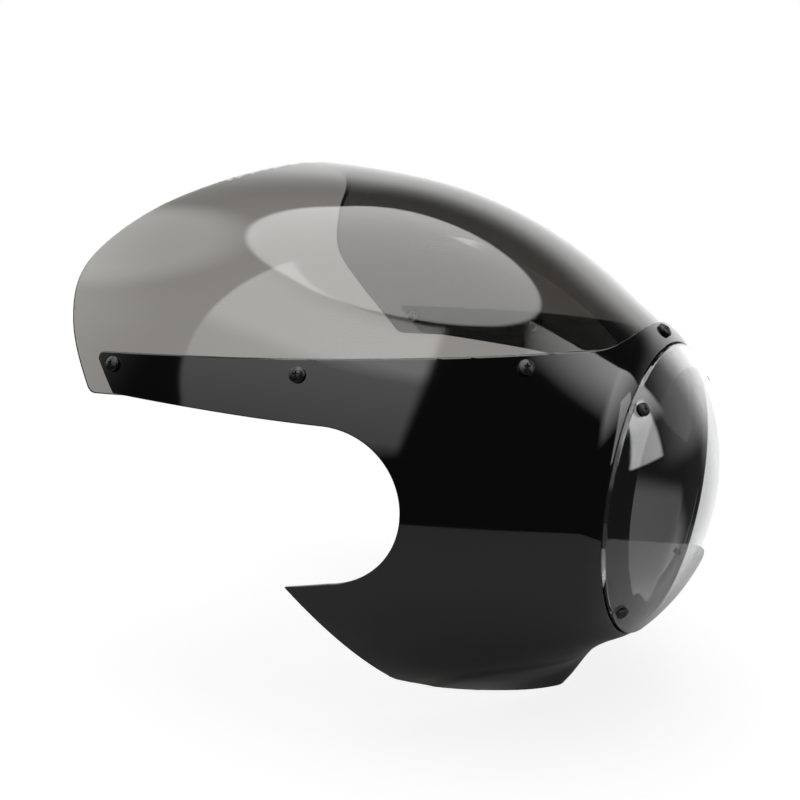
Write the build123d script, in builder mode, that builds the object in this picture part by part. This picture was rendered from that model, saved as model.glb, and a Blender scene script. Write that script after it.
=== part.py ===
import os
from math import acos, asin, cos, degrees, radians, sin, sqrt, tan
from build123d import *

# Headlight cowl, drawn from the plane of the lens edge: +X points forward through the lamp, +Z is up

# Opening for the headlight, in the seat under the dome
opening_r = 76.75
seat_width = 14.25
seat_t = 2.6
seat_gap = 0.3
seat_root = 0.2

# Lens cover: a clear dome
lens_rise = 35.0
lens_t = 2.6
lens_edge_gap = 0.8

# Moulded shell: a bullet shape turned about the lamp, a cone between a rounded nose and two arcs
wall = 2.6
nose_lip = 1.3
nose_slope = 34.8
nose_run = 65.2
nose_turn_x = -12.0
nose_round = 39.0
shoulder_r = 321.0
shoulder_slope = 8.2
back_r = 676.0
back_slope = -6.5
neck = 6.2
reach = 640.0

# Windscreen: nests inside the shell
screen_t = 2.6
screen_gap = 0.3
screen_step = 3.0
screen_overlap = 23.0

# Side view of the shell: arm, fork cut-out, cheek and chin
brow_x = -14.0
brow_rise = 0.7
brow_fillet = 14.0
arm_end = -304.5
arm_top_z = 67.8
arm_low_x = -283.0
arm_fillet = 3.0
cheek_fillet = 6.0
fork_x = -142.5
fork_z = -0.5
fork_r = 46.0
fork_sweep = 172.0
cheek_tip = (-162.0, -52.5)
cheek_mid = (-139.5, -84.0)
cheek_low = (-118.0, -119.4)
chin_x = -52.4
chin_drop = 19.1

# Hollow under the nose: a round sweep from the rim down to the chin, crowned across the shell
scoop_lip = 0.6
scoop_slope = 23.5
scoop_r = 81.0
scoop_axis_z = 40.0

# Chin keel: stations along the lamp axis with the drop of its edge below the shell
keel_start_x = -28.0
keel_start_drop = 0.8
keel_mid_x = -41.4
keel_mid_drop = 10.2
keel_end_x = -92.0
keel_end_drop = 36.3
keel_edge_r = 5.0
keel_foot = 2.0
keel_flare = 3.0
keel_fill = 12.0
keel_edge_wall = 4.4

# Side view of the windscreen
screen_corner_x = -305.0
screen_corner_drop = 25.8
screen_corner_r = 9.0
screen_low_rear = (-336.0, 81.6)
screen_back = (-348.0, 114.5)
screen_high_rear = (-327.5, 147.0)
screen_upper = (-295.5, 170.5)
screen_crown_x = -250.0
screen_crown_rise = 4.2

# Windscreen screws with nuts: places along the lamp axis and drop below the top edge of the arm
screw_shank_r = 2.5
screw_head_r = 4.75
screw_head_h = 3.4
screw_point = 2.5
screw_hole_r = 2.75
nut_af = 8.0
nut_h = 4.0
nut_lift = 0.02
thread_gap = 0.1
side_screws = ((-287.0, 7.0), (-162.0, 8.6), (-52.5, 6.9))
nose_screw_step = 2.0

# Lens screws: cut their own thread in the seat
lens_shank_r = 1.9
lens_head_r = 4.0
lens_head_h = 2.1
lens_point = 2.5
lens_hole_r = 2.2
lens_screw_edge = 4.2
lens_screw_angle = 45.0

# Cross recess and ends of the screws
recess_span = 1.05
recess_width = 0.26
recess_depth = 0.6
crown_share = 0.5
end_chamfer = 0.5

# Derived sizes
lens_r = opening_r + seat_width
dome_r = (lens_r**2 + lens_rise**2) / (2 * lens_rise)
dome_x = lens_rise - dome_r
seat_r = dome_r - lens_t - seat_gap
opening_front = dome_x + sqrt(seat_r**2 - opening_r**2)
opening_back = dome_x + sqrt((seat_r - seat_t) ** 2 - opening_r**2)
rebate_r = lens_r + lens_edge_gap
nose_r = rebate_r + nose_lip
brow_z = rebate_r + brow_rise
arm_low_z = fork_z + fork_r
screen_front = -neck - screen_step
nose_screw_x = -neck - nose_screw_step
lens_screw_r = lens_r - lens_screw_edge
screw_length = wall + screen_gap + screen_t + nut_h + screw_point
lens_length = lens_t + seat_gap + seat_t + lens_point


def lean(slope):
    return Vector(sin(radians(slope)), cos(radians(slope)))


nose_start = Vector(0, nose_r)
nose_turn = nose_start + Vector(nose_turn_x, -nose_turn_x * tan(radians(nose_slope)))
nose_hub = nose_turn - lean(nose_slope) * nose_round
edge_slope = degrees(acos((rebate_r - nose_hub.Y) / nose_round))
edge_x = nose_hub.X + nose_round * sin(radians(edge_slope))
scoop_rim = Vector(edge_x, -rebate_r - scoop_lip)
scoop_hub = scoop_rim + Vector(sin(radians(scoop_slope)), -cos(radians(scoop_slope))) * scoop_r
nose_end = nose_start + Vector(-cos(radians(nose_slope)), sin(radians(nose_slope))) * nose_run
shoulder_hub = nose_end - lean(nose_slope) * shoulder_r
shoulder_end = shoulder_hub + lean(shoulder_slope) * shoulder_r
back_hub = shoulder_end - lean(shoulder_slope) * back_r


# Side curve of the shell, moved inwards by a depth
def shell_curve(depth):
    CenterArc(nose_hub, nose_round - depth, 90 - edge_slope, edge_slope - nose_slope)
    Line(nose_turn - lean(nose_slope) * depth, nose_end - lean(nose_slope) * depth)
    CenterArc(shoulder_hub, shoulder_r - depth, 90 - nose_slope, nose_slope - shoulder_slope)
    CenterArc(back_hub, back_r - depth, 90 - shoulder_slope, shoulder_slope - back_slope)


# Ring between two depths, closed at both ends
def shell_ring(depth, thickness):
    shell_curve(depth)
    shell_curve(depth + thickness)
    for hub, radius, slope in ((nose_hub, nose_round, edge_slope), (back_hub, back_r, back_slope)):
        edge = hub + lean(slope) * radius
        Line(edge - lean(slope) * depth, edge - lean(slope) * (depth + thickness))


def slope_at(x):
    if x > nose_turn.X:
        return degrees(asin((x - nose_hub.X) / nose_round))
    if x > nose_end.X:
        return nose_slope
    if x > shoulder_end.X:
        return degrees(asin((x - shoulder_hub.X) / shoulder_r))
    return degrees(asin((x - back_hub.X) / back_r))


def shell_radius(x):
    slope = radians(slope_at(x))
    if x > nose_turn.X:
        return nose_hub.Y + nose_round * cos(slope)
    if x > nose_end.X:
        return nose_r - x * tan(slope)
    if x > shoulder_end.X:
        return shoulder_hub.Y + shoulder_r * cos(slope)
    return back_hub.Y + back_r * cos(slope)


def on_shell(x, angle, depth=0.0):
    tilt = lean(slope_at(x))
    normal = Vector(tilt.X, 0, tilt.Y).rotate(Axis.X, angle)
    point = Vector(x, 0, shell_radius(x)).rotate(Axis.X, angle) - normal * depth
    return Plane(origin=point, x_dir=normal.cross(Vector(1, 0, 0)), z_dir=normal)


def on_dome(angle, depth=0.0):
    tilt = asin(lens_screw_r / dome_r)
    normal = Vector(cos(tilt), 0, sin(tilt)).rotate(Axis.X, angle)
    point = Vector(dome_x, 0, 0) + normal * (dome_r - depth)
    return Plane(origin=point, x_dir=normal.cross(Vector(1, 0, 0)), z_dir=normal)


def arm_top(x):
    return brow_z + (arm_top_z - brow_z) * (x - brow_x) / (arm_end - brow_x)


# Depth of a nut whose corners just clear the hollow inside of the windscreen
def nut_depth(x):
    depth = wall + screen_gap + screen_t
    bend = nose_round if x > nose_turn.X else shell_radius(x) / cos(radians(slope_at(x)))
    hollow_r = bend - depth
    corner = nut_af / sqrt(3)
    return depth + hollow_r - sqrt(hollow_r**2 - corner**2) + nut_lift


chin_tip = (chin_x, -shell_radius(chin_x) - chin_drop)
screen_corner = (screen_corner_x, arm_top_z - screen_corner_drop)
screen_crown = (screen_crown_x, shell_radius(screen_crown_x) + screen_crown_rise)
screw_spots = [(nose_screw_x, 0.0)]
for spot_x, spot_drop in side_screws:
    spot_angle = degrees(acos((arm_top(spot_x) - spot_drop) / shell_radius(spot_x)))
    screw_spots.append((spot_x, spot_angle))
    screw_spots.append((spot_x, -spot_angle))
screw_seats = [on_shell(x, angle) for x, angle in screw_spots]
lens_angles = [lens_screw_angle, 180 - lens_screw_angle, 180 + lens_screw_angle, -lens_screw_angle]
lens_seats = [on_dome(angle) for angle in lens_angles]

# Seat band that follows the inside of the dome
with BuildSketch(Plane.XZ) as seat_band:
    with Locations((dome_x, 0)):
        Circle(seat_r)
        Circle(seat_r - seat_t, mode=Mode.SUBTRACT)
    with Locations((0, (opening_r + rebate_r + seat_root) / 2)):
        Rectangle(2 * lens_rise, rebate_r + seat_root - opening_r, mode=Mode.INTERSECT)

# Room for the lens cover in front of its seat
with BuildSketch(Plane.XZ) as lens_pocket:
    with Locations((0, rebate_r / 2)):
        Rectangle(4 * lens_rise, rebate_r)
    with Locations((dome_x, 0)):
        Circle(seat_r, mode=Mode.SUBTRACT)

# Wall of the shell with its rim round the lens
with BuildSketch(Plane.XZ) as shell_wall:
    with BuildLine():
        shell_ring(0, wall)
    make_face()
    with BuildLine():
        Polyline(
            (edge_x, rebate_r),
            (-neck, shell_radius(-neck) - wall / 2),
            (-neck, rebate_r),
            close=True,
        )
    make_face()
    add(seat_band.sketch)
    add(lens_pocket.sketch, mode=Mode.SUBTRACT)


# Chin keel: a wedge whose flanks run off the shell, drawn at stations along the lamp axis
def keel_loft(inset, edge_inset):
    stations = (
        (keel_start_x, keel_start_drop),
        (keel_mid_x, keel_mid_drop),
        (chin_x, chin_drop),
        (keel_end_x, keel_end_drop),
    )
    with BuildPart() as wedge:
        for x, drop in stations:
            base = shell_radius(x) - inset / cos(radians(slope_at(x)))
            tip = shell_radius(x) + drop - edge_inset
            flank = acos(min(1, base / tip)) + radians(keel_flare)
            foot = base - keel_foot
            with BuildSketch(Plane.YZ.offset(x)) as keel_section:
                Polygon(
                    (0, -tip),
                    (foot * sin(flank), -foot * cos(flank)),
                    (0, -foot * cos(flank) + keel_fill),
                    (-foot * sin(flank), -foot * cos(flank)),
                    align=None,
                )
                fillet(keel_section.vertices().sort_by(Axis.Y)[0], keel_edge_r)
        loft()
    return wedge.part


# Tube of the hollow, swept round a level axis inside the shell
def scoop_ring(radius):
    with BuildPart() as tube:
        with BuildSketch(Plane.XZ):
            with Locations(scoop_hub):
                Circle(radius)
        revolve(axis=Axis((0, 0, scoop_axis_z), (1, 0, 0)))
    return tube.part


# Wall behind the hollow, rooted halfway into the shell and the keel
root = wall / 2
root_slope = degrees(asin((-neck - nose_hub.X) / (nose_round - root)))
with BuildPart() as scoop_wall:
    with BuildSketch(Plane.XZ):
        with BuildLine():
            nose_arc = CenterArc(nose_hub, nose_round - root, 90 - root_slope, root_slope - nose_slope)
            nose_line = Line(nose_arc @ 1, nose_end - lean(nose_slope) * root)
            Polyline(nose_line @ 1, (nose_end.X, 0), (-neck, 0), nose_arc @ 0)
        make_face()
    revolve(axis=Axis.X)
    add(keel_loft(root, root))
    add(scoop_ring(scoop_r + wall), mode=Mode.INTERSECT)

# Side outline of the shell, cut straight across
with BuildSketch(Plane.XZ.offset(-reach)) as shell_outline:
    with BuildLine():
        top = Polyline(
            (reach, reach),
            (brow_x, reach),
            (brow_x, brow_z),
            (arm_end, arm_top_z),
            (arm_low_x, arm_low_z),
        )
        arch = CenterArc((fork_x, fork_z), fork_r, 90, -fork_sweep)
        Line(top @ 1, arch @ 0)
        Line(arch @ 1, cheek_tip)
        ThreePointArc(cheek_tip, cheek_mid, cheek_low)
        fall = (chin_tip[1] - cheek_low[1]) / (chin_tip[0] - cheek_low[0])
        front_low = (reach, chin_tip[1] + fall * (reach - chin_tip[0]))
        Polyline(cheek_low, front_low, (reach, reach))
    make_face()
    fillet(shell_outline.vertices().sort_by_distance((brow_x, brow_z))[0], brow_fillet)
    fillet(shell_outline.vertices().sort_by_distance((arm_end, arm_top_z))[0], arm_fillet)
    fillet(shell_outline.vertices().sort_by_distance(cheek_low)[0], cheek_fillet)

with BuildPart() as shell_cutter:
    add(shell_outline.sketch)
    extrude(amount=2 * reach, dir=(0, -1, 0))
    with Locations(*screw_seats):
        Cylinder(screw_hole_r, 4 * wall, mode=Mode.SUBTRACT)
    with Locations(*lens_seats):
        Cylinder(lens_shank_r + thread_gap, 8 * seat_t, mode=Mode.SUBTRACT)

with BuildPart() as cowl_body:
    add(shell_wall.sketch)
    revolve(axis=Axis.X)
    add(keel_loft(0, 0))
    add(keel_loft(wall, keel_edge_wall), mode=Mode.SUBTRACT)
    add(scoop_wall.part)
    add(scoop_ring(scoop_r), mode=Mode.SUBTRACT)
    add(shell_cutter.part, mode=Mode.INTERSECT)

# Windscreen
with BuildSketch(Plane.XZ) as screen_wall:
    with BuildLine():
        shell_ring(wall + screen_gap, screen_t)
    make_face()

with BuildSketch(Plane.XZ.offset(-reach)) as screen_outline:
    with BuildLine():
        Spline(
            screen_corner,
            screen_low_rear,
            screen_back,
            screen_high_rear,
            screen_upper,
            screen_crown,
        )
        Polyline(
            screen_crown,
            (screen_crown[0], reach),
            (screen_front, reach),
            (screen_front, brow_z - screen_overlap),
            screen_corner,
        )
    make_face()
    fillet(screen_outline.vertices().sort_by_distance(screen_corner)[0], screen_corner_r)

with BuildPart() as screen_cutter:
    add(screen_outline.sketch)
    extrude(amount=2 * reach, dir=(0, -1, 0))
    with Locations(*screw_seats):
        Cylinder(screw_hole_r, 6 * (wall + screen_t), mode=Mode.SUBTRACT)
    with Locations(screw_seats[0]):
        Box(2 * screw_hole_r, 8 * screw_hole_r, 6 * (wall + screen_t),
            align=(Align.CENTER, Align.MAX, Align.CENTER), mode=Mode.SUBTRACT)

with BuildPart() as windscreen:
    add(screen_wall.sketch)
    revolve(axis=Axis.X)
    add(screen_cutter.part, mode=Mode.INTERSECT)

# Lens cover
with BuildPart() as lens_cover:
    with BuildSketch(Plane.XZ):
        with Locations((dome_x, 0)):
            Circle(dome_r)
            Circle(dome_r - lens_t, mode=Mode.SUBTRACT)
        with Locations((lens_rise, lens_r / 2)):
            Rectangle(4 * lens_rise, lens_r, mode=Mode.INTERSECT)
    revolve(axis=Axis.X)
    with Locations(*lens_seats):
        Cylinder(lens_hole_r, 6 * lens_t, mode=Mode.SUBTRACT)


# Pan-head screw with a cross recess, head sitting on the plane Z = 0
def pan_screw(head_r, head_h, shank_r, length):
    crown = crown_share * head_h
    crown_r = (head_r**2 + crown**2) / (2 * crown)
    crown_angle = degrees(asin(head_r / crown_r))
    with BuildPart() as screw:
        with BuildSketch(Plane.XZ):
            with BuildLine():
                Polyline(
                    (0, head_h),
                    (0, -length),
                    (shank_r - end_chamfer, -length),
                    (shank_r, end_chamfer - length),
                    (shank_r, 0),
                    (head_r, 0),
                    (head_r, head_h - crown),
                )
                CenterArc((0, head_h - crown_r), crown_r, 90 - crown_angle, crown_angle)
            make_face()
        revolve(axis=Axis.Z)
        with BuildSketch(Plane.XY.offset(head_h)):
            Rectangle(recess_span * head_r, recess_width * head_r)
            Rectangle(recess_width * head_r, recess_span * head_r)
        extrude(amount=-recess_depth * head_h, mode=Mode.SUBTRACT)
    return screw.part


with BuildPart() as windscreen_screws:
    with Locations(*screw_seats):
        add(pan_screw(screw_head_r, screw_head_h, screw_shank_r, screw_length))

with BuildPart() as windscreen_nuts:
    with Locations(*[on_shell(x, angle, nut_depth(x)) for x, angle in screw_spots]):
        with BuildSketch(mode=Mode.PRIVATE) as nut_face:
            RegularPolygon(nut_af / 2, 6, major_radius=False)
            Circle(screw_shank_r + thread_gap, mode=Mode.SUBTRACT)
        add(extrude(nut_face.sketch, amount=-nut_h, mode=Mode.PRIVATE))

with BuildPart() as lens_screws:
    with Locations(*lens_seats):
        add(pan_screw(lens_head_r, lens_head_h, lens_shank_r, lens_length))

# Set down with the origin in the middle of the headlight opening
os.makedirs("parts", exist_ok=True)
origin = Pos(-(opening_front + opening_back) / 2, 0, 0)
pieces = {
    "cowl_body": cowl_body,
    "windscreen": windscreen,
    "lens_cover": lens_cover,
    "windscreen_screws": windscreen_screws,
    "windscreen_nuts": windscreen_nuts,
    "lens_screws": lens_screws,
}
for label, piece in pieces.items():
    placed = origin * piece.part
    placed.label = label
    export_step(placed, f"parts/{label}.step")
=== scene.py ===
from math import acos, asin, atan2, cos, degrees, hypot, pi, radians, sin, sqrt, tan

import bpy
from mathutils import Matrix, Vector


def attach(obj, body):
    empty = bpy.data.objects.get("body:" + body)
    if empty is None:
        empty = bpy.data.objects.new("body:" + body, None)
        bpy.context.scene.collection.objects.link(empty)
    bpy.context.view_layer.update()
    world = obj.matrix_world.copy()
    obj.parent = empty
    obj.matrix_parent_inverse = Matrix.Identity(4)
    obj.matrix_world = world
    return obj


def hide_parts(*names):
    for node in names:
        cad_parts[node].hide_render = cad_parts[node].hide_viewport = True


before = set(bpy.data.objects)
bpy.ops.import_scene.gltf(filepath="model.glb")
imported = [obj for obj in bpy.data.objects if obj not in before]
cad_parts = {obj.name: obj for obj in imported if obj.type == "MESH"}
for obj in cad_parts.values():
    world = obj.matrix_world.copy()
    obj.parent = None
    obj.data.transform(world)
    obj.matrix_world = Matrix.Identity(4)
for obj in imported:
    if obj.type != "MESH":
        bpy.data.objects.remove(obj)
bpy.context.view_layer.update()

MM = 0.001

# Sizes in millimetres, measured along the lamp from the plane of the lens edge, which lies at
# lens_plane in the shared frame
lens_plane = -6.1
opening_r = 76.75
lens_r = 91.0
lens_rise = 35.0
lens_t = 2.6
rebate_r = 91.8
nose_r = 93.1
seat_gap = 0.3
seat_t = 2.6
seat_root_r = 92.0
seat_skin = 0.1
neck = 6.2
neck_run = 0.8
neck_step = 0.6
wall = 2.6
nose_slope = 34.8
nose_run = 65.2
nose_turn_x = -12.0
nose_round = 39.0
shoulder_r = 321.0
shoulder_slope = 8.2
back_r = 676.0
shell_back = -314.0
screen_gap = 0.3
screen_depth = 2.92
screen_t = 2.6
screen_front = -9.2
screen_back = -372.0

# Side view of the shell, with the radii of its rounded corners
brow = (-14.0, 92.5)
brow_round = 14.0
arm_end = (-304.5, 67.8)
arm_round = 3.0
arm_low = (-283.0, 45.5)
fork_centre = (-142.5, -0.5)
fork_r = 46.0
fork_start = 90.0
fork_sweep = -172.0
cheek_tip = (-162.0, -52.5)
cheek_mid = (-139.5, -84.0)
cheek_low = (-118.0, -119.4)
cheek_round = 6.0
chin_tip = (-52.4, -148.6)

# Hollow under the nose, and the chin's edge below the round shell at places along the lamp
scoop_lip = 0.6
scoop_slope = 23.5
scoop_r = 81.0
scoop_axis_z = 40.0
scoop_blend = 2.5
chin_drops = ((-28.0, 0.8), (-41.4, 10.2), (-52.4, 19.1), (-92.0, 36.3))
chin_edge_wall = 4.4
chin_span = 1.2

# Keel under the chin: the foot of its flank on the round wall, and its blunt edge
keel_lead = 3.0
keel_sink = 2.0
keel_fade = 0.6
keel_blend = 7.0
keel_edge_half = 6.0
keel_edge_drop = 1.4
keel_edge_depth = 8.0

# Side view of the windscreen
screen_corner = (-305.0, 42.0)
screen_round = 9.0
screen_edge = (
    (-336.0, 81.6),
    (-347.6, 114.5),
    (-327.5, 147.0),
    (-295.5, 170.5),
    (-250.0, 194.5),
)
screen_low_front = 69.5

# Screws: place along the lamp and drop below the top edge of the arm
side_screws = ((-287.0, 7.0), (-162.0, 8.6), (-52.5, 6.9))
nose_screw_x = -8.2
lens_screw_r = 86.8
lens_angles = (45.0, 135.0, 225.0, 315.0)

# Details of a screw: brim of the head, rings of thread, point, and recess as shares of the head
crown_steps = 8
brim_lip = 0.12
brim_rise = 0.1
brim_round = 0.25
head_gap = 0.02
thread_top = -1.0
thread_tail = 0.8
thread_depth = 0.3
point_step = 0.1
point_h = 0.5
point_taper = 0.6
recess_long = 1.06
recess_wide = 0.27
recess_tall = 1.3
recess_floor = 0.42
recess_taper = 0.55

# Hexagon nuts
nut_across = 8.0
nut_h = 4.0
nut_bore_r = 2.6
nut_chamfer = 0.55
nut_gap = 0.02
nut_corner = nut_across / sqrt(3)

# Cutters that reach past the part, and drills as radius and length
cutter_reach = 420.0
cutter_half = 300.0
shell_drill = (2.75, 14.0)
screen_drill = (2.75, 24.0)
seat_drill = (2.0, 24.0)
dome_drill = (2.2, 16.0)

# Spacing of points along the bullet curve, steps of a full turn, and finish of the edges
nose_step = 1.2
middle_step = 2.6
middle_end = -100.0
back_step = 4.4
shell_turns = 256
screw_turns = 36
edge_segments = 3
edge_angle = 38.0
edge_weld = 0.02
cut_smooth = 40.0
edge_smooth = 35.0
touch = 0.01
rim_margin = 0.05

dome_r = (lens_r**2 + lens_rise**2) / (2 * lens_rise)
dome_x = lens_rise - dome_r
seat_r = dome_r - lens_t - seat_gap


# Bullet curve of the shell
def lean(slope):
    return Vector((sin(radians(slope)), cos(radians(slope))))


nose_start = Vector((0.0, nose_r))
nose_turn = nose_start + Vector((nose_turn_x, -nose_turn_x * tan(radians(nose_slope))))
nose_hub = nose_turn - lean(nose_slope) * nose_round
edge_slope = degrees(acos((rebate_r - nose_hub.y) / nose_round))
edge_x = nose_hub.x + nose_round * sin(radians(edge_slope))
scoop_x = edge_x + scoop_r * sin(radians(scoop_slope))
scoop_low = rebate_r + scoop_lip + scoop_r * cos(radians(scoop_slope))
nose_end = nose_start + Vector((-cos(radians(nose_slope)), sin(radians(nose_slope)))) * nose_run
shoulder_hub = nose_end - lean(nose_slope) * shoulder_r
shoulder_end = shoulder_hub + lean(shoulder_slope) * shoulder_r
back_hub = shoulder_end - lean(shoulder_slope) * back_r


def slope_at(x):
    if x > nose_turn.x:
        return degrees(asin((x - nose_hub.x) / nose_round))
    if x > nose_end.x:
        return nose_slope
    if x > shoulder_end.x:
        return degrees(asin((x - shoulder_hub.x) / shoulder_r))
    return degrees(asin((x - back_hub.x) / back_r))


def shell_radius(x):
    slope = radians(slope_at(x))
    if x > nose_turn.x:
        return nose_hub.y + nose_round * cos(slope)
    if x > nose_end.x:
        return nose_r - x * tan(slope)
    if x > shoulder_end.x:
        return shoulder_hub.y + shoulder_r * cos(slope)
    return back_hub.y + back_r * cos(slope)


def bullet_point(depth, x):
    spot = Vector((x, shell_radius(x))) - lean(slope_at(x)) * depth
    return (spot.x, spot.y)


# Points of the curve at a depth below the outer face, from the nose to the back
def bullet_points(depth, first_x, last_x):
    points = []
    x = first_x
    while x > last_x:
        points.append(bullet_point(depth, x))
        if x > nose_turn_x:
            x -= nose_step
        elif x > middle_end:
            x -= middle_step
        else:
            x -= back_step
    points.append(bullet_point(depth, last_x))
    return points


def dome_points(radius, low_r, high_r, count):
    reach = [low_r + (high_r - low_r) * step / count for step in range(count + 1)]
    return [(dome_x + sqrt(radius**2 - r**2), r) for r in reach]


def arc_points(centre, radius, start, sweep, count):
    spots = []
    for step in range(count + 1):
        angle = radians(start + sweep * step / count)
        spots.append((centre[0] + radius * cos(angle), centre[1] + radius * sin(angle)))
    return spots


def corner_points(before, corner, after, radius, count):
    corner = Vector(corner)
    one = (Vector(before) - corner).normalized()
    two = (Vector(after) - corner).normalized()
    half = acos(max(-1.0, min(1.0, one.dot(two)))) / 2
    middle = corner + (one + two).normalized() * radius / sin(half)
    start = corner + one * radius / tan(half) - middle
    turn = pi - 2 * half
    if one.x * two.y - one.y * two.x > 0:
        turn = -turn
    base = atan2(start.y, start.x)
    return arc_points(middle, radius, degrees(base), degrees(turn), count)


def three_point_arc(first, second, third, count):
    (ax, ay), (bx, by), (cx, cy) = first, second, third
    aa, bb, cc = ax**2 + ay**2, bx**2 + by**2, cx**2 + cy**2
    scale = 2 * (ax * (by - cy) + bx * (cy - ay) + cx * (ay - by))
    ux = aa * (by - cy) + bb * (cy - ay) + cc * (ay - by)
    uy = aa * (cx - bx) + bb * (ax - cx) + cc * (bx - ax)
    hub = (ux / scale, uy / scale)
    start = degrees(atan2(ay - hub[1], ax - hub[0]))
    sweep = degrees(atan2(cy - hub[1], cx - hub[0])) - start
    sweep = (sweep + 180) % 360 - 180
    return arc_points(hub, hypot(ax - hub[0], ay - hub[1]), start, sweep, count)


# A smooth line through all points, with a number of steps between each two
def smooth_line(points, count):
    spots = []
    padded = [points[0], *points, points[-1]]
    for p0, p1, p2, p3 in zip(padded, padded[1:], padded[2:], padded[3:]):
        for step in range(count):
            t = step / count
            spot = []
            for a, b, c, d in zip(p0, p1, p2, p3):
                square = 2 * a - 5 * b + 4 * c - d
                cube = 3 * (b - c) + d - a
                spot.append(b + 0.5 * t * (c - a + t * (square + t * cube)))
            spots.append(tuple(spot))
    return spots + [points[-1]]


# Modelling steps
def clear_selection():
    if bpy.context.mode != "OBJECT":
        bpy.ops.object.mode_set(mode="OBJECT")
    bpy.ops.object.select_all(action="DESELECT")


def pick(piece):
    clear_selection()
    piece.select_set(True)
    bpy.context.view_layer.objects.active = piece


def edit(piece):
    pick(piece)
    bpy.ops.object.mode_set(mode="EDIT")
    bpy.ops.mesh.select_all(action="SELECT")


def set_name(piece, name):
    piece.name = name
    piece.data.name = name


def apply_place():
    bpy.ops.object.transform_apply(location=True, rotation=True, scale=True)


def join(pieces):
    clear_selection()
    for piece in pieces:
        piece.select_set(True)
    bpy.context.view_layer.objects.active = pieces[0]
    bpy.ops.object.join()
    return pieces[0]


def add_cylinder(radius, depth, sides, middle=0.0):
    clear_selection()
    bpy.ops.mesh.primitive_cylinder_add(
        vertices=sides, radius=radius * MM, depth=depth * MM, location=(0, 0, middle * MM)
    )
    return bpy.context.active_object


# A line of edges, drawn by extruding one vertex from place to place
def draw_line(name, places):
    clear_selection()
    bpy.ops.mesh.primitive_plane_add(size=MM, location=(0, 0, 0))
    piece = bpy.context.active_object
    set_name(piece, name)
    edit(piece)
    bpy.ops.mesh.merge(type="CENTER")
    bpy.ops.transform.translate(value=places[0])
    for here, there in zip(places, places[1:]):
        bpy.ops.mesh.extrude_vertices_move(TRANSFORM_OT_translate={"value": there - here})
    bpy.ops.mesh.select_all(action="SELECT")
    return piece


# A closed loop of edges in a plane parallel to the side view
def draw_loop(name, spots, side=0.0):
    places = [Vector((x + lens_plane, side, z)) * MM for x, z in spots]
    piece = draw_line(name, places + places[:1])
    bpy.ops.mesh.remove_doubles(threshold=1e-7)
    return piece


def spin_line(piece, steps, axis):
    edit(piece)
    bpy.ops.mesh.spin(steps=steps, angle=2 * pi, center=(0, 0, 0), axis=axis)
    bpy.ops.mesh.select_all(action="SELECT")
    bpy.ops.mesh.remove_doubles(threshold=2e-6)
    bpy.ops.mesh.normals_make_consistent(inside=False)
    clear_selection()


# A block with the outline of the side view, wider than the part
def side_cutter(name, outline):
    cutter = draw_loop(name, outline, -cutter_half)
    across = (0, 2 * cutter_half * MM, 0)
    edit(cutter)
    bpy.ops.mesh.edge_face_add()
    bpy.ops.mesh.extrude_region_move(TRANSFORM_OT_translate={"value": across})
    bpy.ops.mesh.select_all(action="SELECT")
    bpy.ops.mesh.normals_make_consistent(inside=False)
    clear_selection()
    return cutter


def carve(piece, tool, operation):
    pick(piece)
    cut = piece.modifiers.new("cut", "BOOLEAN")
    cut.object = tool
    cut.operation = operation
    cut.solver = "EXACT"
    bpy.ops.object.modifier_apply(modifier=cut.name)
    bpy.data.objects.remove(tool)


def drill(piece, seats, radius, depth):
    tools = []
    for place in seats:
        tool = add_cylinder(radius, depth, sides=32)
        tool.matrix_world = place
        apply_place()
        tools.append(tool)
    carve(piece, join(tools), "DIFFERENCE")


# The rounded edge keeps its width along the fine mesh: no clamping, and no sliding along edges
def round_edges(piece, width):
    pick(piece)
    edge = piece.modifiers.new("edge", "BEVEL")
    edge.width = width * MM
    edge.segments = edge_segments
    edge.limit_method = "ANGLE"
    edge.angle_limit = radians(edge_angle)
    edge.use_clamp_overlap = False
    edge.loop_slide = False
    edge.miter_outer = "MITER_ARC"
    bpy.ops.object.modifier_apply(modifier=edge.name)


def tidy_mesh(piece, weld, angle):
    edit(piece)
    bpy.ops.mesh.remove_doubles(threshold=weld * MM)
    bpy.ops.mesh.dissolve_degenerate(threshold=1e-6)
    pick(piece)
    bpy.ops.object.shade_smooth_by_angle(angle=radians(angle))


def finish_edges(piece, weld, width):
    tidy_mesh(piece, weld, cut_smooth)
    round_edges(piece, width)
    tidy_mesh(piece, edge_weld, edge_smooth)


# Shading of the wide faces is kept even right up to their rounded edges
def even_normals(piece):
    pick(piece)
    even = piece.modifiers.new("even", "WEIGHTED_NORMAL")
    even.keep_sharp = True
    even.weight = 90
    bpy.ops.object.modifier_apply(modifier=even.name)


# Seats of the screws: a matrix whose Z axis points out of the surface
def seat(point, normal):
    across = Vector((1, 0, 0)).cross(normal).normalized()
    along = normal.cross(across)
    turn = Matrix((across, along, normal)).transposed().to_4x4()
    return Matrix.Translation(Vector((point.x + lens_plane, point.y, point.z)) * MM) @ turn


def round_lamp(vector, angle):
    return Matrix.Rotation(radians(angle), 3, "X") @ vector


def shell_seat(x, angle, depth=0.0):
    tilt = lean(slope_at(x))
    normal = round_lamp(Vector((tilt.x, 0, tilt.y)), angle)
    return seat(round_lamp(Vector((x, 0, shell_radius(x))), angle) - normal * depth, normal)


def dome_seat(angle):
    tilt = asin(lens_screw_r / dome_r)
    normal = round_lamp(Vector((cos(tilt), 0, sin(tilt))), angle)
    return seat(Vector((dome_x, 0, 0)) + normal * dome_r, normal)


def arm_top(x):
    return brow[1] + (arm_end[1] - brow[1]) * (x - brow[0]) / (arm_end[0] - brow[0])


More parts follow.
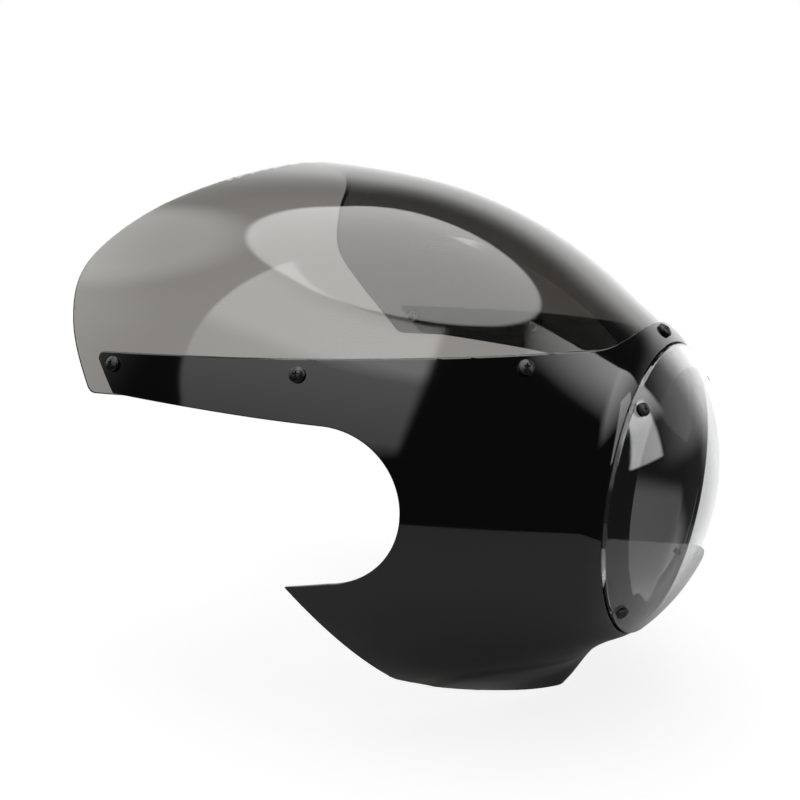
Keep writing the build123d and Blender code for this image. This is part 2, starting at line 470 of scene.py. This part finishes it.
screw_spots = [(nose_screw_x, 0.0)]
for spot_x, spot_drop in side_screws:
    spot_angle = degrees(acos((arm_top(spot_x) - spot_drop) / shell_radius(spot_x)))
    screw_spots += [(spot_x, spot_angle), (spot_x, -spot_angle)]
screw_seats = [shell_seat(*spot) for spot in screw_spots]
lens_seats = [dome_seat(angle) for angle in lens_angles]


# Chin: the underside of the shell drawn down into a keel with hollow flanks
def chin_drop(x):
    total = 0.0
    for i, (xi, drop) in enumerate(chin_drops):
        share = 1.0
        for j, (xj, _) in enumerate(chin_drops):
            if i != j:
                share *= (x - xj) / (xi - xj)
        total += drop * share
    return total


def soft_max(one, two, soft):
    return max(one, two) + soft * 0.25 * max(0.0, 1.0 - abs(one - two) / soft) ** 2


# Radius of the keel's flank and rounded edge round the lamp, for a round wall of a given radius
def keel_radius(base, tip, turn):
    if tip <= base + touch:
        return tip
    flank = acos(base / tip) + radians(keel_lead)
    foot = base - keel_sink
    fx, fz = foot * sin(flank), foot * cos(flank)
    nearest = atan2(tip - fz, fx)
    near = min(turn, nearest)
    reach = tip * fx / (fx * cos(near) + (tip - fz) * sin(near))
    reach -= keel_fade * base * max(0.0, turn - nearest)
    blunt = turn * tip / keel_edge_half
    if blunt < 1.0:
        reach -= keel_edge_drop * (1.0 - blunt) ** 2 * min(1.0, (tip - base) / keel_edge_depth)
    return reach


# Radius of the hollow's face round the lamp, at a depth behind the face
def scoop_radius(x, turn, depth):
    across = (scoop_r + depth) ** 2 - (x - scoop_x) ** 2
    if across <= 0.0:
        return None
    ring = scoop_axis_z + scoop_low - sqrt(across)
    return sqrt(ring**2 - (scoop_axis_z * sin(turn)) ** 2) - scoop_axis_z * cos(turn)


def pull_chin(piece):
    chin_end = chin_drops[-1][0]
    for vertex in piece.data.vertices:
        x = vertex.co.x / MM - lens_plane
        y, z = vertex.co.y / MM, vertex.co.z / MM
        base = hypot(y, z)
        turn = abs(atan2(y, -z))
        if x > edge_x - rim_margin or x < cheek_low[0]:
            continue
        if turn > chin_span or base < seat_root_r + touch:
            continue
        below = (shell_radius(x) - base) * cos(radians(slope_at(x)))
        depth = wall if below > 0.5 * wall else 0.0
        grown = base
        if x < chin_drops[0][0]:
            edge_wall = chin_edge_wall * depth / wall
            tip = shell_radius(x) + chin_drop(max(x, chin_end)) - edge_wall
            grown = soft_max(base, keel_radius(base, tip, turn), keel_blend)
        hollow = scoop_radius(x, turn, depth)
        if hollow is not None:
            grown = max(-soft_max(-grown, -hollow, scoop_blend), seat_root_r + seat_skin)
        vertex.co.y *= grown / base
        vertex.co.z *= grown / base


# Shell of the cowl: turned wall with the seat under the dome, then its side outline and holes
def make_shell():
    outer = bullet_points(0.0, edge_x, shell_back)
    inner = bullet_points(wall, edge_x, shell_back)
    inner = [spot for spot in inner if spot[0] < -neck - neck_run]
    loop = outer + inner[::-1]
    loop += [(-neck, inner[0][1] - neck_step), (-neck, seat_root_r)]
    loop += dome_points(seat_r - seat_t, seat_root_r, opening_r, count=8)
    loop += dome_points(seat_r, opening_r, rebate_r, count=8)
    shell = draw_loop("cowl_shell", loop)
    spin_line(shell, shell_turns, (1, 0, 0))
    pull_chin(shell)

    # The last points of the cheek give way to its rounded corner
    fall = (chin_tip[1] - cheek_low[1]) / (chin_tip[0] - cheek_low[0])
    front_low = (cutter_reach, chin_tip[1] + fall * (cutter_reach - chin_tip[0]))
    above_brow = (brow[0], cutter_reach)
    cheek = three_point_arc(cheek_tip, cheek_mid, cheek_low, count=18)
    outline = [(cutter_reach, cutter_reach), above_brow]
    outline += corner_points(above_brow, brow, arm_end, brow_round, count=10)
    outline += corner_points(brow, arm_end, arm_low, arm_round, count=6)
    outline += [arm_low]
    outline += arc_points(fork_centre, fork_r, fork_start, fork_sweep, count=64)
    outline += cheek[:-2]
    outline += corner_points(cheek[-3], cheek_low, front_low, cheek_round, count=7)
    outline += [front_low]
    carve(shell, side_cutter("shell_side", outline), "INTERSECT")
    drill(shell, screw_seats, *shell_drill)
    drill(shell, lens_seats, *seat_drill)
    finish_edges(shell, weld=0.12, width=0.7)
    even_normals(shell)
    return shell


# Smoked windscreen, which follows the same curve inside the shell
def make_screen():
    outer = bullet_points(screen_depth, edge_x, screen_back)
    inner = bullet_points(screen_depth + screen_t, edge_x, screen_back)
    screen = draw_loop("smoked_screen", outer + inner[::-1])
    spin_line(screen, shell_turns, (1, 0, 0))

    # The first points of the rear edge give way to its rounded low corner
    rear = smooth_line([screen_corner, *screen_edge], count=12)
    low_front = (screen_front, screen_low_front)
    outline = corner_points(low_front, screen_corner, rear[4], screen_round, count=8)
    outline += rear[7:]
    outline += [(screen_edge[-1][0], cutter_reach), (screen_front, cutter_reach), low_front]
    carve(screen, side_cutter("screen_side", outline), "INTERSECT")
    drill(screen, screw_seats, *screen_drill)
    finish_edges(screen, weld=0.22, width=0.6)
    even_normals(screen)
    return screen


# Clear dome
def make_dome():
    outer = dome_points(dome_r, 0.0, lens_r, count=30)
    inner = dome_points(dome_r - lens_t, lens_r, 0.0, count=30)
    dome = draw_loop("clear_dome", outer + inner)
    spin_line(dome, shell_turns, (1, 0, 0))
    drill(dome, lens_seats, *dome_drill)
    finish_edges(dome, weld=0.05, width=0.45)
    return dome


# Blade that cuts one slot of a cross recess, narrower at its floor
def recess_blade(head_r, head_h, turn):
    clear_selection()
    bpy.ops.mesh.primitive_cube_add(size=MM, rotation=(0, 0, turn))
    blade = bpy.context.active_object
    blade.scale = (recess_long * head_r, recess_wide * head_r, recess_tall * head_h)
    blade.location = (0, 0, (recess_floor * head_h + recess_tall / 2 * head_h) * MM)
    apply_place()
    bpy.ops.object.mode_set(mode="EDIT")
    bpy.ops.mesh.select_all(action="DESELECT")
    bpy.ops.object.mode_set(mode="OBJECT")
    for face in blade.data.polygons:
        face.select = face.normal.z < -0.5
    bpy.ops.object.mode_set(mode="EDIT")
    bpy.ops.transform.resize(
        value=(recess_taper, recess_taper, 1.0),
        center_override=(0, 0, recess_floor * head_h * MM),
    )
    clear_selection()
    return blade


# Pan-head screw standing on the plane Z = 0, with a cross recess and rings of thread
def make_screw(name, head_r, head_h, shank_r, length, pitch):
    crown = 0.5 * head_h
    crown_r = (head_r**2 + crown**2) / (2 * crown)
    span = asin(head_r / crown_r)
    spots = []
    for step in range(crown_steps + 1):
        tilt = span * step / crown_steps
        spots.append((crown_r * sin(tilt), head_h - crown_r + crown_r * cos(tilt)))
    spots[-1] = (head_r - brim_lip, spots[-1][1] + brim_rise)
    spots += [(head_r, head_h - crown - brim_round), (head_r, brim_round)]
    spots += [(head_r - brim_round, head_gap), (shank_r, head_gap)]
    z = thread_top
    while z > thread_tail - length:
        spots += [(shank_r, z), (shank_r - thread_depth, z - pitch / 2)]
        z -= pitch
    spots += [(shank_r - point_step, point_h - length)]
    spots += [(shank_r - point_taper, -length), (0.0, -length)]
    screw = draw_line(name, [Vector((r, 0, height)) * MM for r, height in spots])
    spin_line(screw, screw_turns, (0, 0, 1))
    blades = [recess_blade(head_r, head_h, turn) for turn in (0.0, pi / 2)]
    for blade in blades:
        carve(screw, blade, "DIFFERENCE")
    tidy_mesh(screw, weld=0.01, angle=40.0)
    return screw


# Hexagon nut with chamfered corners, lying below the plane Z = 0
def make_nut():
    nut = add_cylinder(nut_corner, nut_h, sides=6, middle=-nut_h / 2)
    set_name(nut, "hex_nut")
    apply_place()
    turned = add_cylinder(nut_corner, nut_h, sides=48, middle=-nut_h / 2)
    apply_place()
    pick(turned)
    rim = turned.modifiers.new("chamfer", "BEVEL")
    rim.width = nut_chamfer * MM
    rim.segments = 2
    rim.limit_method = "ANGLE"
    bpy.ops.object.modifier_apply(modifier=rim.name)
    carve(nut, turned, "INTERSECT")
    carve(nut, add_cylinder(nut_bore_r, 2 * nut_h, sides=36), "DIFFERENCE")
    tidy_mesh(nut, weld=0.01, angle=30.0)
    return nut


# Depth below the shell's face at which the corners of a nut clear the bent wall of the screen
def nut_depth(x):
    depth = wall + screen_gap + screen_t
    bend = nose_round if x > nose_turn.x else shell_radius(x) / cos(radians(slope_at(x)))
    hollow_r = bend - depth
    return depth + hollow_r - sqrt(hollow_r**2 - nut_corner**2) + nut_gap


# One copy of the pattern on each seat, turned about the seat's axis, as one piece
def set_copies(pattern, name, seats, angles):
    copies = []
    for place, angle in zip(seats, angles):
        pick(pattern)
        bpy.ops.object.duplicate()
        copy = bpy.context.active_object
        copy.matrix_world = place @ Matrix.Rotation(radians(angle), 4, "Z")
        apply_place()
        copies.append(copy)
    piece = join(copies)
    set_name(piece, name)
    bpy.data.objects.remove(pattern)
    return piece


shell = make_shell()
screen = make_screen()
dome = make_dome()
pan_screw = make_screw("pan_screw", head_r=4.75, head_h=3.4, shank_r=2.5, length=12.0, pitch=0.8)
screen_screws = set_copies(
    pan_screw, "screen_screws", screw_seats, angles=(18, 62, 35, 8, 71, 24, 50)
)
small_screw = make_screw("small_screw", head_r=4.0, head_h=2.1, shank_r=1.9, length=8.0, pitch=0.7)
dome_screws = set_copies(small_screw, "dome_screws", lens_seats, angles=(40, 15, 66, 30))
nut_seats = [shell_seat(x, angle, nut_depth(x)) for x, angle in screw_spots]
nuts = set_copies(make_nut(), "hex_nuts", nut_seats, angles=(0, 12, 40, 25, 51, 8, 33))


# Materials
def new_group(name, inputs, outputs):
    group = bpy.data.node_groups.new(name, "ShaderNodeTree")
    for socket, kind, value in inputs:
        made = group.interface.new_socket(name=socket, in_out="INPUT", socket_type=kind)
        if value is not None:
            made.default_value = value
    for socket, kind in outputs:
        group.interface.new_socket(name=socket, in_out="OUTPUT", socket_type=kind)
    start = group.nodes.new("NodeGroupInput")
    end = group.nodes.new("NodeGroupOutput")
    return group, start, end


def map_range(nodes, links, source, before, after=(0.0, 1.0)):
    span = nodes.new("ShaderNodeMapRange")
    span.inputs["From Min"].default_value, span.inputs["From Max"].default_value = before
    span.inputs["To Min"].default_value, span.inputs["To Max"].default_value = after
    links.new(source, span.inputs["Value"])
    return span.outputs["Result"]


def calculate(nodes, links, operation, first, second):
    node = nodes.new("ShaderNodeMath")
    node.operation = operation
    for value, socket in zip((first, second), node.inputs):
        if isinstance(value, (int, float)):
            socket.default_value = value
        else:
            links.new(value, socket)
    return node.outputs["Value"]


def mix_colours(nodes, links, source, first, second):
    mix = nodes.new("ShaderNodeMix")
    mix.data_type = "RGBA"
    mix.inputs["A"].default_value = (*first, 1.0)
    mix.inputs["B"].default_value = (*second, 1.0)
    links.new(source, mix.inputs["Factor"])
    return mix.outputs["Result"]


# Handling marks: slow cloudiness, orange peel and stray specks of dust
def handling_marks():
    group, start, end = new_group(
        "handling_marks",
        (("Vector", "NodeSocketVector", None), ("Dust", "NodeSocketFloat", 0.5)),
        (("Cloud", "NodeSocketFloat"), ("Peel", "NodeSocketFloat"), ("Specks", "NodeSocketFloat")),
    )
    nodes, links = group.nodes, group.links

    def noise(scale, detail):
        texture = nodes.new("ShaderNodeTexNoise")
        texture.inputs["Scale"].default_value = scale
        texture.inputs["Detail"].default_value = detail
        links.new(start.outputs["Vector"], texture.inputs["Vector"])
        return texture.outputs["Fac"]

    specks = map_range(nodes, links, noise(scale=760.0, detail=0.0), (0.74, 0.80))
    specks = calculate(nodes, links, "MULTIPLY", specks, start.outputs["Dust"])
    links.new(noise(scale=17.0, detail=4.0), end.inputs["Cloud"])
    links.new(noise(scale=340.0, detail=1.0), end.inputs["Peel"])
    links.new(specks, end.inputs["Specks"])
    return group


marks = handling_marks()


# A finish whose colour and roughness each follow one of the handling marks, between two limits;
# bump is strength and depth in metres of the orange peel
def make_finish(name, dust, colour, roughness, bump=None, settings=()):
    material = bpy.data.materials.new(name)
    material.use_nodes = True
    nodes, links = material.node_tree.nodes, material.node_tree.links
    shader = nodes["Principled BSDF"]
    place = nodes.new("ShaderNodeTexCoord")
    worn = nodes.new("ShaderNodeGroup")
    worn.node_tree = marks
    worn.inputs["Dust"].default_value = dust
    links.new(place.outputs["Object"], worn.inputs["Vector"])

    mark, first, second = colour
    shade = mix_colours(nodes, links, worn.outputs[mark], first, second)
    links.new(shade, shader.inputs["Base Color"])
    mark, low, high = roughness
    haze = map_range(nodes, links, worn.outputs[mark], (0.25, 0.75), (low, high))
    links.new(haze, shader.inputs["Roughness"])
    if bump:
        relief = nodes.new("ShaderNodeBump")
        relief.inputs["Strength"].default_value, relief.inputs["Distance"].default_value = bump
        links.new(worn.outputs["Peel"], relief.inputs["Height"])
        links.new(relief.outputs["Normal"], shader.inputs["Normal"])
    for setting, value in settings:
        shader.inputs[setting].default_value = value
    return material


gloss_black = make_finish(
    "gloss_black_moulding",
    dust=0.35,
    colour=("Specks", (0.0018, 0.0018, 0.002), (0.007, 0.007, 0.0068)),
    roughness=("Cloud", 0.03, 0.07),
    bump=(0.02, 0.00004),
    settings=(("IOR", 1.5),),
)
smoked = make_finish(
    "smoked_acrylic",
    dust=0.2,
    colour=("Cloud", (1.0, 1.0, 1.0), (0.985, 0.985, 0.985)),
    roughness=("Specks", 0.0, 0.12),
    settings=(("Transmission Weight", 1.0), ("IOR", 1.49)),
)
clear = make_finish(
    "clear_acrylic",
    dust=0.2,
    colour=("Cloud", (0.91, 0.915, 0.915), (0.90, 0.905, 0.905)),
    roughness=("Specks", 0.0, 0.1),
    settings=(("Transmission Weight", 1.0), ("IOR", 1.49)),
)
blackened_steel = make_finish(
    "blackened_steel",
    dust=0.6,
    colour=("Cloud", (0.012, 0.012, 0.013), (0.04, 0.04, 0.041)),
    roughness=("Peel", 0.22, 0.42),
    bump=(0.15, 0.0001),
    settings=(("Metallic", 0.6),),
)
bright_zinc = make_finish(
    "bright_zinc",
    dust=0.6,
    colour=("Cloud", (0.50, 0.50, 0.51), (0.68, 0.68, 0.67)),
    roughness=("Peel", 0.18, 0.40),
    bump=(0.2, 0.0001),
    settings=(("Metallic", 1.0),),
)


# Smoke in the acrylic, so that a longer way through it is darker
def add_smoke(material, colour, density):
    nodes, links = material.node_tree.nodes, material.node_tree.links
    tint = nodes.new("ShaderNodeVolumeAbsorption")
    tint.inputs["Color"].default_value = (*colour, 1.0)
    tint.inputs["Density"].default_value = density
    links.new(tint.outputs["Volume"], nodes["Material Output"].inputs["Volume"])


add_smoke(smoked, colour=(0.10, 0.075, 0.03), density=510.0)


def finish_piece(piece, material, node):
    piece.data.materials.clear()
    piece.data.materials.append(material)
    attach(piece, "root")
    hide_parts(node)


finish_piece(shell, gloss_black, "cowl_body")
finish_piece(screen, smoked, "windscreen")
finish_piece(dome, clear, "lens_cover")
finish_piece(screen_screws, blackened_steel, "windscreen_screws")
finish_piece(dome_screws, blackened_steel, "lens_screws")
finish_piece(nuts, bright_zinc, "windscreen_nuts")


# Floor, world, lamp and camera


# One for a ray that comes directly or through glass, without a reflection on the way
def seen_straight(nodes, links):
    path = nodes.new("ShaderNodeLightPath")
    unmirrored = calculate(nodes, links, "LESS_THAN", path.outputs["Glossy Depth"], 0.5)
    through = calculate(nodes, links, "MULTIPLY", path.outputs["Is Transmission Ray"], unmirrored)
    return calculate(nodes, links, "MAXIMUM", path.outputs["Is Camera Ray"], through)


# The floor glows to the camera, so that it is nearly white, and is plain grey in reflections
def make_floor(radius, spot, mirrored_tone, seen_tone, glow):
    clear_selection()
    bpy.ops.mesh.primitive_circle_add(vertices=128, radius=radius, fill_type="NGON", location=spot)
    floor = bpy.context.active_object
    floor.name = "floor"
    material = bpy.data.materials.new("pale_floor")
    material.use_nodes = True
    nodes, links = material.node_tree.nodes, material.node_tree.links
    shader = nodes["Principled BSDF"]
    shader.inputs["Roughness"].default_value = 0.9
    shader.inputs["Specular IOR Level"].default_value = 0.0
    seen = seen_straight(nodes, links)
    tone = mix_colours(nodes, links, seen, (mirrored_tone,) * 3, (seen_tone,) * 3)
    links.new(tone, shader.inputs["Base Color"])
    shader.inputs["Emission Color"].default_value = (1.0, 1.0, 1.0, 1.0)
    strength = calculate(nodes, links, "MULTIPLY", seen, glow)
    links.new(strength, shader.inputs["Emission Strength"])
    floor.data.materials.append(material)


# Studio round the object, as a world that depends on direction: white to the camera, and in
# reflections a round lamp overhead, a tall panel at the side, a strip and a low panel in front,
# pale walls behind and beside, and a lit corner behind. Soft light gets diffuse_share of it
def make_world(ambient, diffuse_share):
    world = bpy.data.worlds.new("studio")
    bpy.context.scene.world = world
    world.use_nodes = True
    nodes, links = world.node_tree.nodes, world.node_tree.links
    nodes.clear()
    place = nodes.new("ShaderNodeTexCoord")

    def maths(operation, first, second):
        return calculate(nodes, links, operation, first, second)

    # Cosine of the angle to a direction
    def towards(direction):
        node = nodes.new("ShaderNodeVectorMath")
        node.operation = "DOT_PRODUCT"
        links.new(place.outputs["Generated"], node.inputs[0])
        node.inputs[1].default_value = Vector(direction).normalized()
        return node.outputs["Value"]

    # Mask that rises from none at low to full at high
    def ramp(source, low, high, kind="SMOOTHSTEP"):
        node = nodes.new("ShaderNodeMapRange")
        node.interpolation_type = kind
        links.new(source, node.inputs["Value"])
        node.inputs["From Min"].default_value = low
        node.inputs["From Max"].default_value = high
        return node.outputs["Result"]

    # Mask with a level at each stop
    def steps(source, stops):
        node = nodes.new("ShaderNodeValToRGB")
        links.new(source, node.inputs["Fac"])
        band = node.color_ramp
        band.elements[0].color = (0.0, 0.0, 0.0, 1.0)
        band.elements[1].color = (0.0, 0.0, 0.0, 1.0)
        for spot, level in stops:
            band.elements.new(spot).color = (level, level, level, 1.0)
        return node.outputs["Color"]

    def product(level, *masks):
        for mask in masks:
            level = maths("MULTIPLY", mask, level)
        return level

    # A lamp with four straight sides, from its corners' turn and height in degrees
    def four_sided(level, *corners):
        spots = []
        for turn, rise in corners:
            turn, rise = radians(turn), radians(rise)
            spots.append(Vector((cos(rise) * cos(turn), cos(rise) * sin(turn), sin(rise))))
        sides = [first.cross(second) for first, second in zip(spots, spots[1:] + spots[:1])]
        return product(level, *(ramp(towards(side), 0.0, 0.02) for side in sides))

    height = towards((0, 0, 1))
    overhead = product(4.2, ramp(towards((-0.06, 0.075, 1.0)), 0.866, 0.878))

    panel_stops = ((0.1, 0.0), (0.2, 0.28), (0.60, 0.42), (0.68, 0.86))
    panel_stops += ((0.84, 0.86), (0.895, 0.6), (0.905, 0.0))
    panel_levels = steps(height, panel_stops)
    panel_left = ramp(towards((1.0, -0.55, 0.35)), -0.004, 0.012)
    panel_right = ramp(towards((-0.8915, -0.329, 0.2094)), 0.0, 0.06)
    panel = product(4.0, panel_levels, panel_left, panel_right)

    strip_ahead = ramp(towards((0.885, 0.418, 0.206)), 0.612, 0.735, "LINEAR")
    strip_side = ramp(towards((0.5676, -0.8106, -0.148)), 0.0, 0.015)
    strip_rise = ramp(height, 0.35, 0.8, "LINEAR")
    strip = product(5.6, strip_ahead, strip_side, strip_rise)

    low_panel = four_sided(3.2, (-3.0, 5.5), (20.5, 7.0), (22.0, 31.0), (7.0, 35.0))

    walls_top = ramp(height, 0.74, 0.45)
    back_low = ramp(height, -0.06, 0.08)
    back_low = maths("MAXIMUM", back_low, ramp(towards((0.3, 0.954, 0.0)), 0.4, 0.7))
    back_span = ramp(towards((-0.755, 0.656, 0.0)), 0.0, 0.4)
    back_wall = product(1.25, back_span, walls_top, back_low)

    side_low = ramp(height, -0.02, 0.16)
    side_span = ramp(towards((0.42, 0.906, 0.0)), 0.6, 0.98)
    side_wall = product(0.55, side_span, walls_top, side_low)

    corner = product(1.6, ramp(towards((-0.741, -0.052, 0.669)), 0.945, 0.985))

    studio = ambient
    for source in (overhead, panel, strip, low_panel, back_wall, side_wall, corner):
        studio = maths("ADD", source, studio)
    path = nodes.new("ShaderNodeLightPath")
    mirrored = maths("MINIMUM", path.outputs["Glossy Depth"], 1.0)
    mirrored = maths("MULTIPLY", path.outputs["Is Transmission Ray"], mirrored)
    mirrored = maths("MAXIMUM", path.outputs["Is Glossy Ray"], mirrored)
    share = maths("ADD", maths("MULTIPLY", mirrored, 1.0 - diffuse_share), diffuse_share)
    seen = seen_straight(nodes, links)
    unseen = maths("SUBTRACT", 1.0, seen)
    dark = maths("MULTIPLY", maths("MULTIPLY", studio, share), unseen)
    back = nodes.new("ShaderNodeBackground")
    back.inputs["Color"].default_value = (1.0, 1.0, 1.0, 1.0)
    links.new(maths("ADD", dark, seen), back.inputs["Strength"])
    end = nodes.new("ShaderNodeOutputWorld")
    links.new(back.outputs["Background"], end.inputs["Surface"])


# Round lamp that lights the matt faces only, and is not mirrored
def add_softbox(name, place, aim, width, radiance):
    lamp = bpy.data.lights.new(name, "AREA")
    lamp.shape = "DISK"
    lamp.size = width
    lamp.energy = radiance * pi * pi * width**2 / 4
    box = bpy.data.objects.new(name, lamp)
    bpy.context.scene.collection.objects.link(box)
    box.location = place
    box.rotation_mode = "QUATERNION"
    box.rotation_quaternion = (Vector(aim) - Vector(place)).to_track_quat("-Z", "Y")
    box.visible_camera = False
    box.visible_glossy = False


# Camera fitted to the photo: turn and rise of its view and tip of the part in degrees, place of
# the lens edge's middle to its right, above and ahead of it, and focal length in pixels
def make_camera(turn, rise, tip, middle, focal, picture=800.0, sensor=36.0):
    turn, rise, tip = radians(turn), radians(rise), radians(tip)
    right = Vector((cos(turn), sin(turn), 0))
    ahead = Vector((-sin(turn) * cos(rise), cos(turn) * cos(rise), -sin(rise)))
    up = right.cross(ahead)
    level = Matrix(((cos(tip), 0, sin(tip)), (0, 1, 0), (-sin(tip), 0, cos(tip)))).transposed()
    right, up, ahead = level @ right, level @ up, level @ ahead
    spot = -(right * middle[0] + up * middle[1] + ahead * middle[2])
    data = bpy.data.cameras.new("camera")
    data.sensor_width = sensor
    data.lens = sensor * focal / picture
    data.clip_start = 0.01
    camera = bpy.data.objects.new("camera", data)
    bpy.context.scene.collection.objects.link(camera)
    place = Matrix.Translation(Vector((spot.x + lens_plane, spot.y, spot.z)) * MM)
    camera.matrix_world = place @ Matrix((right, up, -ahead)).transposed().to_4x4()
    bpy.context.scene.camera = camera


make_floor(
    radius=0.42, spot=(-0.125, -0.11, -0.1486), mirrored_tone=0.82, seen_tone=0.30, glow=0.85
)
make_world(ambient=0.06, diffuse_share=0.2)
add_softbox("overhead", place=(-0.24, 0.0, 1.6), aim=(-0.15, 0.0, 0.0), width=1.6, radiance=1.25)
make_camera(turn=31.356, rise=10.404, tip=3.487, middle=(162.52, -55.26, 685.19), focal=1099.13)
bpy.context.scene.view_settings.view_transform = "Standard"
